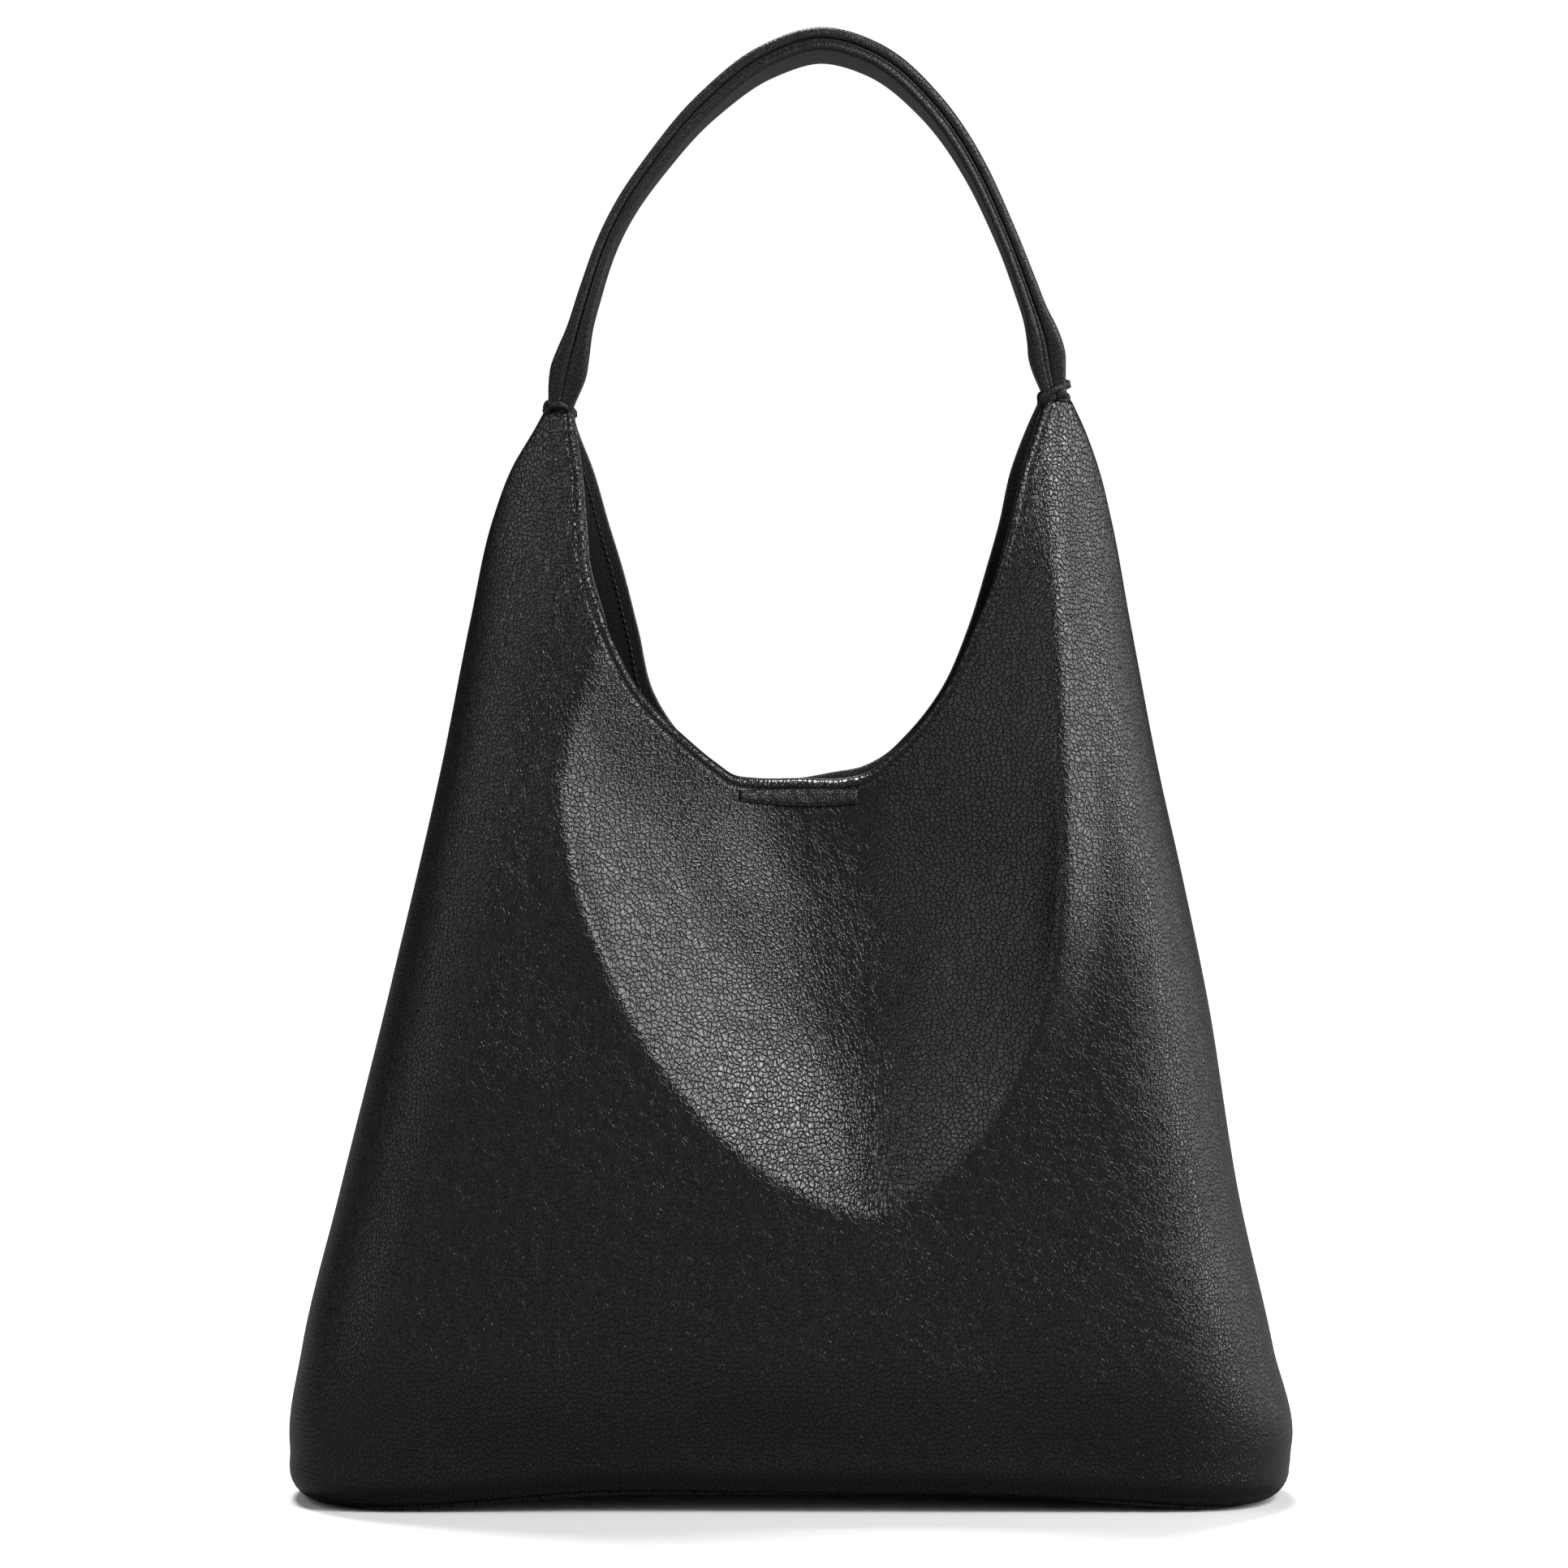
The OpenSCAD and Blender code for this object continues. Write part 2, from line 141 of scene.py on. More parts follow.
def lattice(x, y, size, seed):
    """Smooth random field of that wavelength, from -1 to 1."""
    values = np.random.RandomState(seed).uniform(-1, 1, (97, 89))
    gx, gy = np.asarray(x, float) / size + 40, np.asarray(y, float) / size + 30
    ix, iy = np.floor(gx).astype(int), np.floor(gy).astype(int)
    tx, ty = gx - ix, gy - iy
    tx, ty = tx * tx * (3 - 2 * tx), ty * ty * (3 - 2 * ty)
    ix, iy = ix % 96, iy % 88
    low = lerp(values[ix, iy], values[ix + 1, iy], tx)
    return lerp(low, lerp(values[ix, iy + 1], values[ix + 1, iy + 1], tx), ty)


# ---------------------------------------------------------------- the body's form
def middle(z):
    """Middle between the two sides at a height."""
    return (curve(LEFT_SIDE, z) + curve(RIGHT_SIDE, z)) / 2


def half_w(z):
    """Half of the width at a height."""
    return (curve(RIGHT_SIDE, z) - curve(LEFT_SIDE, z)) / 2


def half_d(z):
    """Half of the depth at a height, before any hollow. The foot is drawn in a little."""
    drawn_in = 4 * (1 - step(z, 8, 60))
    return BASE_HALF * (1 - (np.clip(z, 0, None) / DEPTH_Z) ** DEPTH_POWER) - drawn_in


def round_side(s, z):
    """Share of the depth left at share s of the half-width. In plan the bag is boxy low down, and oval at the horns."""
    power = lerp(13.0, 2.6, step(z, 265, 430))
    return np.sqrt(np.clip(1 - np.abs(np.clip(s, -1, 1)) ** power, 0, 1))


BOWL_LEFT, BOWL_RIGHT = 104, 92   # reach of the front's hollow to both sides of its middle line
BOWL_DEEP = 167                   # its reach below the mouth
BOWL_POWER = 1.7                  # roundness of its outline
VALLEY = 0.15                     # rounding of its lowest line
# How the front falls away inside its ridge: (how far inside, share of the whole fall)
FALL = [(-1, 0), (0, 0), (0.08, 0.1), (0.164, 0.19), (0.316, 0.32), (0.58, 0.53), (0.871, 0.80), (1, 1), (1.2, 1.1)]
RIB_HIGH, RIB_WIDE = 6.5, 11      # the ridge's rib


def bowl_place(x, z):
    """Place on the front against its ridge: share across, share of the fall, and how far inside the ridge."""
    rise = z - MOUTH_Z
    down = np.clip(positive(-rise, 16) / 170, 0, 1.2)
    up = positive(rise, 16)
    centre = 12 + 18 * down
    left = np.clip(BOWL_LEFT - up * 0.30, 70, BOWL_LEFT)
    right = BOWL_RIGHT - up * 0.02
    across = np.where(x < centre, (x - centre) / left, (x - centre) / right)
    fall = np.clip(-rise / BOWL_DEEP, 0, None)
    return across, fall, 1 - np.abs(across) ** BOWL_POWER - fall**2


def front_bowl(x, z):
    """Hollow of the front: 0 on its ridge and outside, 1 at the middle of the mouth."""
    across, fall, q = bowl_place(x, z)
    # Lower down the hollow's section turns from a trough into a soft V
    room = np.clip(1 - fall**2, 1e-3, 1)
    t = np.abs(across) / room ** (1 / BOWL_POWER)
    power = BOWL_POWER - 0.35 * step(fall, 0.15, 0.6)
    slope = (np.sqrt(t * t + VALLEY**2) - VALLEY) / (np.sqrt(1 + VALLEY**2) - VALLEY)
    q = np.where((q > 0) & (fall < 1), room * (1 - slope**power), q)
    # The ridge is crisp below the mouth and softens towards the horns
    q = positive(q, 0.03 + np.where(x < 0, 0.13 * step(z, 255, 335), 0.12 * step(z, 240, 370)))
    return np.clip(lerp(curve(FALL, q), q, step(fall, 0.45, 0.9)), 0, 1)


def ridge_rib(x, z):
    """The ridge stands up as a rounded rib on the right, and a little on the left."""
    across, _, q = bowl_place(x, z)
    outside = np.maximum(-q, 0) * 55
    side = np.where(across > 0, 1.0, 0.35) * step(np.abs(across), 0.3, 0.8) * step(z, 165, 235)
    return RIB_HIGH * side * np.exp(-((outside / RIB_WIDE) ** 2)) * (1 - step(z, 395, 430))


def back_bowl(x, z):
    """Hollow of the back: a soft trough at the mouth, and a round dish lower down."""
    drop = MOUTH_Z - z
    across = np.abs(x - 4) / 98
    near_mouth = np.clip(positive(1 - across**1.8 - np.clip(drop / 125, 0, None) ** 2, 0.12), 0, 1)
    dish = (1 + np.cos(np.pi * np.clip(np.hypot(across, np.maximum(drop, 0) / 110), 0, 1))) / 2
    return lerp(near_mouth, dish, step(drop, 10, 55))


ARCH = 6.8           # how far the base's middle stands off the ground


def lift(x, z):
    """The base's arch, running out towards the sides and upwards."""
    return ARCH * (1 - step(np.abs(x - 4), 60, 180)) * (1 - step(z, 0, 80))


def depth_at(x, z, bowl):
    """Distance of the front or the back from the bag's middle plane."""
    s = (x - middle(z)) / half_w(z)
    deep = half_d(z) + (ridge_rib(x, z) if bowl is front_bowl else 0)
    return round_side(s, z) * lerp(deep, MOUTH_HALF, bowl(x, z))


# Rows of points near the mouth, by their distance from its edge
EDGE_ROWS = [0, 0.35, 0.8, 1.4, 2.0, 2.5, 2.9, 3.3, 3.7, 4.2, 5, 6.5, 8.5, 11, 14, 18, 23, 29]


SQUARE = 3.7         # rows this near the mouth's edge lie square to it
GATHER = 7           # columns gather towards the mouth by this power of their height


def wall_map(edge, cols, rows):
    """Columns from the turn at the base up to the mouth's edge, as x, z and distance below the edge, row by row."""
    us = np.linspace(-1, 1, cols)
    tip = along(edge, at=np.clip(us / TIP_U / 2 + 0.5, 0, 1))
    tangent = np.gradient(tip, axis=0)
    # The outermost columns end side by side on the flat top of a horn
    for way in (-1, 1):
        out = (us * way) > TIP_U
        r = (us[out] * way - TIP_U) / (1 - TIP_U)
        side = LEFT_SIDE if way < 0 else RIGHT_SIDE
        inner = tip[out][0 if way > 0 else -1, 0]
        tip[out, 0] = lerp(inner, curve(side, TIP_Z), r)
        tip[out, 1] = TIP_Z
        tangent[out] = (1, 0)
    normal = unit(np.stack([-tangent[:, 1], tangent[:, 0]], axis=-1))
    xs, zs, ds = [], [], []
    fine = np.linspace(0, 1, 500)
    for i in range(cols):
        ex, ez = tip[i]
        z = lerp(ROLL, ez, fine)
        s0 = np.sin(us[i] * np.pi / 2)
        s1 = (ex - middle(ez)) / half_w(ez)
        x = middle(z) + half_w(z) * lerp(s0, s1, fine**GATHER)
        length = np.r_[0, np.cumsum(np.hypot(np.diff(x), np.diff(z)))]
        total = length[-1]
        rest = lerp(EDGE_ROWS[-1], total, np.linspace(0, 1, rows + 1)[1:])
        d = np.r_[EDGE_ROWS, rest][::-1]
        px = np.interp(total - d, length, x)
        pz = np.interp(total - d, length, z)
        # Near the edge the rows bend to run alongside it, but not at the horns
        reach = lerp(26, 16, step(ez, 290, 350))
        w = (1 - step(d, SQUARE, SQUARE + reach)) * (1 - step(ez, 360, 436))
        xs.append(lerp(px, ex - normal[i, 0] * d, w))
        zs.append(lerp(pz, ez - normal[i, 1] * d, w))
        ds.append(d)
    return np.array(xs).T, np.array(zs).T, np.array(ds).T


def roll_rows(x, y, way):
    """Rows that turn from the wall's foot in under the base."""
    s = (x - middle(ROLL)) / half_w(ROLL)
    rows = []
    for turn in np.pi / 2 * np.arange(UNDER_ROWS) / UNDER_ROWS:
        drawn = ROLL * (1 - np.sin(turn))
        rx = middle(ROLL) + s * (half_w(ROLL) - drawn)
        ry = y - way * drawn * round_side(s, ROLL) ** UNDER_POWER
        rz = np.full_like(x, ROLL - ROLL * np.cos(turn))
        rows.append(np.stack([rx, ry, rz], axis=-1))
    return np.array(rows)


def normals(grid, way):
    return way * unit(np.cross(np.gradient(grid, axis=1), np.gradient(grid, axis=0)))


def soft_folds(x, z, seed):
    """Gentle unevenness of slack leather."""
    return 0.8 * lattice(x, z, 62, seed) + 0.35 * lattice(x, z, 27, seed + 1)


FANS = ((-92, 9), (105.5, 7))     # x of the point from which each horn's creases fan out, and how dense they are
FAN_Z = 452


def gathers(x, z):
    """Creases that fan out below each horn's tip."""
    total = np.zeros_like(x)
    for tip_x, count in FANS:
        dx, dz = x - tip_x, FAN_Z - z
        angle = np.arctan2(dx, dz)
        near = np.exp(-(((np.hypot(dx, dz) - 20) / 26) ** 2)) * (np.abs(dx) < 60)
        total += near * np.sin(angle * count * 4 + 0.4 * np.sin(dz / 6))
    return 0.32 * total


def shell_grid(edge, bowl, way, cols, rows, seed):
    """Outer skin of one panel with its unevenness. way is -1 for the front and 1 for the back."""
    x, z, d = wall_map(edge, cols, rows)
    y = way * (depth_at(x, z, bowl) + SEAM_GAP / 2)
    grid = np.concatenate([roll_rows(x[0], y[0], way), np.stack([x, y, z], axis=-1)])
    below = np.concatenate([np.full((UNDER_ROWS, cols), FAR_BELOW), d])
    n = normals(grid, -way)
    gx, gz = grid[..., 0], grid[..., 2]
    inwards = round_side((gx - middle(gz)) / half_w(gz), gz)
    bump = soft_folds(gx, gz, seed) * inwards * step(below, 4, 40) * SLACK
    bump += gathers(gx, gz) * step(below, 3, 7) * inwards
    grid = grid + n * bump[..., None]
    grid[..., 2] += lift(grid[..., 0], grid[..., 2])
    return grid, below


# Section of the turned hem with its stitch line: (distance from the edge, height)
HEM = [(0, -0.35), (0.4, 0.12), (1.4, 0.42), (2.3, 0.3), (2.8, -0.02), (3.3, -0.34), (3.8, -0.06), (4.8, 0.05),
       (6.5, 0), (9, 0)]
HEM_END = HEM[-1][0]


def hem_height(d):
    return np.where(d < HEM_END, curve(HEM, np.clip(d, 0, HEM_END)), 0)


# ---------------------------------------------------------------- meshes
def add_object(name, data):
    obj = bpy.data.objects.new(name, data)
    bpy.context.collection.objects.link(obj)
    return obj


def make(name, points, faces, material, uv=None, sharp=None):
    """A piece from points in millimetres. sharp is the angle in degrees above which edges stay hard."""
    mesh = bpy.data.meshes.new(name)
    mesh.from_pydata((np.asarray(points, float) * MM).tolist(), [], [tuple(int(i) for i in f) for f in faces])
    if uv is not None:
        layer = mesh.uv_layers.new(name="Grain")
        index = np.zeros(len(mesh.loops), int)
        mesh.loops.foreach_get("vertex_index", index)
        layer.data.foreach_set("uv", (np.asarray(uv, float) * MM)[index].ravel().astype(np.float32))
    b = bmesh.new()
    b.from_mesh(mesh)
    bmesh.ops.recalc_face_normals(b, faces=b.faces)
    b.to_mesh(mesh)
    b.free()
    mesh.polygons.foreach_set("use_smooth", [True] * len(mesh.polygons))
    if sharp is not None:
        mesh.set_sharp_from_angle(angle=np.radians(sharp))
    mesh.materials.append(material)
    obj = add_object(name, mesh)
    return obj


def grid_quads(rows, cols, keep=None, wrap_rows=False, wrap_cols=False):
    """Faces between the points of a grid, numbered row by row."""
    faces = []
    for r in range(rows if wrap_rows else rows - 1):
        for c in range(cols if wrap_cols else cols - 1):
            if keep is None or keep[r][c]:
                r2, c2 = (r + 1) % rows, (c + 1) % cols
                faces.append((r * cols + c, r * cols + c2, r2 * cols + c2, r2 * cols + c))
    return faces


def sheet_mesh(outer, inner, rim=2, keep=None):
    """Closed sheet between two grids, with a rounded rim along the last row. keep is False where faces are cut out."""
    rows, cols = outer.shape[:2]
    top_o, top_i = outer[-1], inner[-1]
    ahead = unit(outer[-1] - outer[-2])
    thick = np.linalg.norm(top_o - top_i, axis=1, keepdims=True)
    turns = [np.pi * (k + 1) / (rim + 1) for k in range(rim)]
    rims = [(top_o + top_i) / 2 + (top_o - top_i) / 2 * np.cos(t) + ahead * thick / 2 * np.sin(t) for t in turns]
    stack = np.concatenate([outer, np.array(rims).reshape(rim, cols, 3), inner[::-1]])
    total = stack.shape[0]
    kept = None if keep is None else np.concatenate([keep, np.ones((rim + 1, cols - 1), bool), keep[::-1]])
    faces = grid_quads(total, cols, kept)
    # Foot and both ends
    faces += [(c, c + 1, (total - 1) * cols + c + 1, (total - 1) * cols + c) for c in range(cols - 1)]
    for c in (0, cols - 1):
        for r in range(total // 2):
            a, b = r * cols + c, (r + 1) * cols + c
            e, f = (total - 1 - r) * cols + c, (total - 2 - r) * cols + c
            if b != f:
                faces.append((a, b, f, e))
    if keep is None:
        return stack.reshape(-1, 3), faces
    # Walls round what is cut out: each side of a missing face that has a kept neighbour
    for r, c in np.argwhere(~keep):
        corners = [(r, c), (r, c + 1), (r + 1, c + 1), (r + 1, c)]
        beside = [((r - 1, c), 0, 1), ((r + 1, c), 3, 2), ((r, c - 1), 0, 3), ((r, c + 1), 1, 2)]
        for (nr, nc), first, second in beside:
            if 0 <= nr < rows - 1 and 0 <= nc < cols - 1 and keep[nr][nc]:
                (ar, ac), (br, bc) = corners[first], corners[second]
                inner_a, inner_b = (total - 1 - ar) * cols + ac, (total - 1 - br) * cols + bc
                faces.append((ar * cols + ac, br * cols + bc, inner_b, inner_a))
    return stack.reshape(-1, 3), faces


BACK_UV = 900        # the back's leather lies this far from the front's in the flat coordinates


def grain_uv(points):
    """Flat leather coordinates: across the panel round its sides, and up."""
    x, y, z = points[:, 0], points[:, 1], points[:, 2]
    zc = np.clip(z, 0, TIP_Z)
    s = (x - middle(zc)) / half_w(zc)
    flat = x + np.sign(x) * half_d(zc) * (1 - round_side(s, zc)) + np.where(y > 0, BACK_UV, 0)
    return np.stack([flat, z], axis=-1)


LIP_MIDDLE, LIP_HALF = 2.5, 26    # the part of the front that opens in full
LIP_FOOT = (118, 172)             # between these heights the front starts to bend
STRAP_FOOT = (437, 452)           # and between these the strap


def lip_share(points):
    """How far each point of the front follows the opening lip. The bend reaches wider higher up."""
    x, z = points[:, 0], points[:, 2]
    reach = lerp(60, 88, np.clip((z - 150) / 135, 0, 1))
    return (1 - step(np.abs(x - LIP_MIDDLE), LIP_HALF, reach)) * step(z, *LIP_FOOT)


def strap_share(points):
    """How far each point of the strap follows the swinging handle."""
    return step(points[:, 2], *STRAP_FOOT)


def follow(obj, shares):
    """obj's transform baked into its points, and each vertex's share worked out from shares; the shares are not
    applied.
    """
    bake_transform(obj)
    points = np.array([v.co for v in obj.data.vertices], float) / MM
    shares(points).astype(np.float32)
    return obj


def stitch_row(points, away, pitch=2.8, length=2.0, radius=0.26, sink=0.0):
    """Stitches laid along a line of points. away is the direction out of the leather at each point."""
    p = np.asarray(points, float)
    s = run(p)

    def place(at, values):
        return np.array([np.interp(at, s, values[:, i]) for i in range(3)])

    verts, faces = [], []
    rings, sides = 5, 6
    for k in range(int(s[-1] / pitch)):
        mid = (k + 0.5) * pitch
        for j in range(rings):
            r = j / (rings - 1)
            at = mid + (r - 0.5) * length
            here = place(at, p)
            ahead = unit(place(at + 0.2, p) - place(at - 0.2, p))
            up = place(at, away)
            up = unit(up - ahead * up.dot(ahead))
            across = np.cross(ahead, up)
            size = radius * (0.35 + 0.65 * np.sin(np.pi * (0.12 + 0.76 * r)))
            rise = 0.18 * np.sin(np.pi * r) - sink
            for i in range(sides):
                t = 2 * np.pi * i / sides
                verts.append(here + up * (rise + size * np.sin(t)) + across * size * np.cos(t))
        base = k * rings * sides
        for j in range(rings - 1):
            for i in range(sides):
                a, b = base + j * sides + i, base + j * sides + (i + 1) % sides
                faces.append((a, b, b + sides, a + sides))
        faces.append([base + i for i in range(sides)][::-1])
        faces.append([base + (rings - 1) * sides + i for i in range(sides)])
    return np.array(verts), faces


# ---------------------------------------------------------------- materials
def new_material(name):
    material = bpy.data.materials.new(name)
    material.use_nodes = True
    tree = material.node_tree
    shader = tree.nodes["Principled BSDF"]
    return material, tree, shader


def add_node(tree, kind, inputs=None, **settings):
    """A shader node with its settings and the values of its inputs."""
    node = tree.nodes.new(kind)
    for key, value in settings.items():
        setattr(node, key, value)
    for key, value in (inputs or {}).items():
        node.inputs[key].default_value = value
    return node


def set_bump(tree, shader, height, distance):
    """Relief from a height socket. distance is in millimetres."""
    bump = add_node(tree, "ShaderNodeBump", {"Strength": 1, "Distance": distance * MM})
    tree.links.new(height, bump.inputs["Height"])
    tree.links.new(bump.outputs["Normal"], shader.inputs["Normal"])


def leather(name, colour, roughness, cell, relief):
    """Pebbled leather: polygons between fine creases, a finer grain on top, and patches of long wrinkles."""
    material, tree, shader = new_material(name)
    link = tree.links.new
    flat = add_node(tree, "ShaderNodeUVMap", uv_map="Grain").outputs["UV"]

    def noise(scale, detail):
        node = add_node(tree, "ShaderNodeTexNoise", {"Scale": scale, "Detail": detail})
        link(flat, node.inputs["Vector"])
        return node

    # Flat coordinates, warped so that no crease is straight
    warped = add_node(tree, "ShaderNodeVectorMath", {1: (0.003, 0.003, 0.003)}, operation="MULTIPLY_ADD")
    link(noise(170, 2).outputs["Color"], warped.inputs[0])
    link(flat, warped.inputs[2])

    def cells(scale, width, stretch=(1, 1, 1), turn=0.0):
        """1 inside each cell, falling smoothly to 0 on the creases between them."""
        place = add_node(tree, "ShaderNodeMapping", {"Scale": stretch, "Rotation": (0, 0, turn)})
        edges = add_node(
            tree, "ShaderNodeTexVoronoi", {"Scale": scale}, voronoi_dimensions="2D", feature="DISTANCE_TO_EDGE"
        )
        crease = add_node(
            tree, "ShaderNodeMapRange", {"From Min": -width, "From Max": width, "To Min": -1},
            interpolation_type="SMOOTHERSTEP",
        )
        link(warped.outputs["Vector"], place.inputs["Vector"])
        link(place.outputs["Vector"], edges.inputs["Vector"])
        link(edges.outputs["Distance"], crease.inputs["Value"])
        return crease.outputs["Result"]

    def add(total, part, weight=None, by=None):
        """total + part * weight, or total + part * by, where by is another socket."""
        node = add_node(tree, "ShaderNodeMath", None if weight is None else {1: weight}, operation="MULTIPLY_ADD")
        link(part, node.inputs[0])
        if by is not None:
            link(by, node.inputs[1])
        link(total, node.inputs[2])
        return node.outputs["Value"]

    big = cells(cell, 0.3)
    small = cells(cell * 1.7, 0.3, (1, 0.5, 1), 0.9)
    long = cells(cell * 0.75, 0.16, (1, 0.26, 1), 0.4)
    patch = add_node(tree, "ShaderNodeMapRange", {"From Min": 0.45, "From Max": 0.62, "To Max": 0.5})
    link(noise(13, 2).outputs["Fac"], patch.inputs["Value"])
    height = add(big, small, 0.5)
    height = add(height, noise(2600, 3).outputs["Fac"], 0.08)
    height = add(height, long, by=patch.outputs["Result"])
    set_bump(tree, shader, height, relief)

    # Painted shade: the base colour is darkened in the creases between the cells, and the creases take no shine
    tone = add_node(tree, "ShaderNodeMix", data_type="RGBA")
    tone.inputs["A"].default_value = (*[c * 0.8 for c in colour], 1)
    tone.inputs["B"].default_value = (*colour, 1)
    link(big, tone.inputs["Factor"])
    link(tone.outputs["Result"], shader.inputs["Base Color"])
    shader.inputs["Roughness"].default_value = roughness
    shine = add_node(tree, "ShaderNodeMapRange", {"From Max": 0.7, "To Max": 0.5})
    link(big, shine.inputs["Value"])
    link(shine.outputs["Result"], shader.inputs["Specular IOR Level"])
    return material


def plain(name, colour, roughness, metallic=0.0, scale=0.0, relief=0.0):
    """A surface with one colour and, where relief is given, a fine noise in object space."""
    material, tree, shader = new_material(name)
    shader.inputs["Base Color"].default_value = (*colour, 1)
    shader.inputs["Roughness"].default_value = roughness
    shader.inputs["Metallic"].default_value = metallic
    if relief:
        where = add_node(tree, "ShaderNodeTexCoord")
        grain = add_node(tree, "ShaderNodeTexNoise", {"Scale": scale, "Detail": 3})
        tree.links.new(where.outputs["Object"], grain.inputs["Vector"])
        set_bump(tree, shader, grain.outputs["Fac"], relief)
    return material


def woven(name, colour, roughness, threads):
    """Woven cloth: fine waves that cross."""
    material, tree, shader = new_material(name)
    shader.inputs["Base Color"].default_value = (*colour, 1)
    shader.inputs["Roughness"].default_value = roughness
    where = add_node(tree, "ShaderNodeTexCoord")
    total = add_node(tree, "ShaderNodeMath")
    for k, turn in enumerate((0.785, -0.785)):
        place = add_node(tree, "ShaderNodeMapping", {"Rotation": (0, turn, 0)})
        wave = add_node(tree, "ShaderNodeTexWave", {"Scale": threads})
        tree.links.new(where.outputs["Object"], place.inputs["Vector"])
        tree.links.new(place.outputs["Vector"], wave.inputs["Vector"])
        tree.links.new(wave.outputs["Fac"], total.inputs[k])
    set_bump(tree, shader, total.outputs["Value"], 0.05)
    return material


SHELL = leather("Body_leather", (0.009, 0.009, 0.0092), 0.25, cell=500, relief=0.11)
STRAP = leather("Strap_leather", (0.011, 0.011, 0.0112), 0.36, cell=620, relief=0.08)
TAB_LEATHER = leather("Tab_leather", (0.012, 0.012, 0.0122), 0.28, cell=600, relief=0.14)
FACING = leather("Facing_leather", (0.022, 0.022, 0.0225), 0.4, cell=430, relief=0.06)
THREAD = plain("Thread", (0.008, 0.008, 0.008), 0.55)
LINING = woven("Lining_cloth", (0.05, 0.048, 0.045), 0.8, 500)
ZIP_CLOTH = woven("Zip_cloth", (0.02, 0.02, 0.02), 0.8, 700)
NICKEL = plain("Nickel", (0.55, 0.55, 0.56), 0.28, metallic=1.0)
WELT = plain("Welt_leather", (0.018, 0.018, 0.019), 0.5, scale=900, relief=0.08)
BOARD = plain("Board", (0.32, 0.25, 0.17), 0.85, scale=900, relief=0.05)

# ---------------------------------------------------------------- shells
COLS, ROWS = 261, 150
front, front_d = shell_grid(FRONT_EDGE, front_bowl, -1, COLS, ROWS, FRONT_SEED)
back, back_d = shell_grid(BACK_EDGE, back_bowl, 1, COLS, ROWS, BACK_SEED)


MEET = 5.0           # closer than this to the bag's middle plane, the layers draw together
FACING_IN = (2.65, 2.75)          # how far inside the skin the facing lies, under the hem and below it
FACING_THICK = 1.15
LINING_IN = 3.1
LINING_THICK = 0.6


def inset(grid, n, amount):
    """The grid moved inwards, less where front and back meet."""
    return grid - n * (amount * np.clip(np.abs(grid[..., 1]) / MEET, 0.06, 1))[..., None]


def shell_piece(name, grid, below, way):
    """Leather of one panel with its turned hem."""
    n = normals(grid, -way)
    outer = grid + n * hem_height(below)[..., None]
    inner = inset(grid, n, lerp(TURN_IN, LEATHER, step(below, 3.6, 5.0)))
    points, faces = sheet_mesh(outer, inner, rim=3)
    return make(name, points, faces, SHELL, uv=grain_uv(points))


def facing_piece(name, grid, below, way):
    """Leather facing inside the mouth. Its edge stands just above the hem."""
    n = normals(grid, -way)
    first = grid.shape[0] - len(EDGE_ROWS)
    g, d, n = grid[first:], below[first:], n[first:]
    above_hem = unit(g[-1] - g[-2]) * 0.55
    out = lerp(*FACING_IN, step(d, 4, HEM_END))
    outer, inner = inset(g, n, out), inset(g, n, out + FACING_THICK)
    outer[-1] += above_hem
    inner[-1] += above_hem
    points, faces = sheet_mesh(outer, inner, rim=3)
    return make(name, points, faces, FACING, uv=grain_uv(points))


ZIP_BACK = 36.7      # depth at which the lining lies against the back of the zip
LINING_TOP = 21      # distance below the mouth's edge at which the lining starts, behind the facing


def lining_piece(name, grid, below, way, seed, window=None):
    """Loose lining from the facing down to the base. window is what the zip needs: left, right, foot and top."""
    n = normals(grid, -way)
    use = [r for r in range(grid.shape[0]) if below[r, 0] > LINING_TOP or r < UNDER_ROWS][::2]
    g, d, n = grid[use][:, ::2], below[use][:, ::2], n[use][:, ::2]
    slack = 1.2 + 0.7 * lattice(g[..., 0], g[..., 2], 21, seed)
    slack += 0.5 * lattice(g[..., 0], g[..., 2] * 0.4, 9, seed + 1)
    out = LINING_IN + slack * step(d, 34, 60) * step(g[..., 2], 14, 40)
    outer, inner = inset(g, n, out), inset(g, n, out + LINING_THICK)
    keep = None
    if window is not None:
        left, right, foot, top = window
        # The cloth is drawn forward to the zip's frame, where it is sewn on
        for skin, plane in ((outer, ZIP_BACK + LINING_THICK), (inner, ZIP_BACK)):
            near = 1 - step(np.abs(skin[..., 0] - (left + right) / 2), 80, 102)
            near *= 1 - step(np.abs(skin[..., 2] - (foot + top) / 2), 9, 25)
            skin[..., 1] = lerp(skin[..., 1], np.minimum(skin[..., 1], plane), near)
        mid = (g[:-1, :-1] + g[1:, 1:]) / 2
        mid_x, mid_z = mid[..., 0], mid[..., 2]
        keep = ~((mid_x > left) & (mid_x < right) & (mid_z > foot) & (mid_z < top))
    points, faces = sheet_mesh(outer, inner, rim=1, keep=keep)
    return make(name, points, faces, LINING)


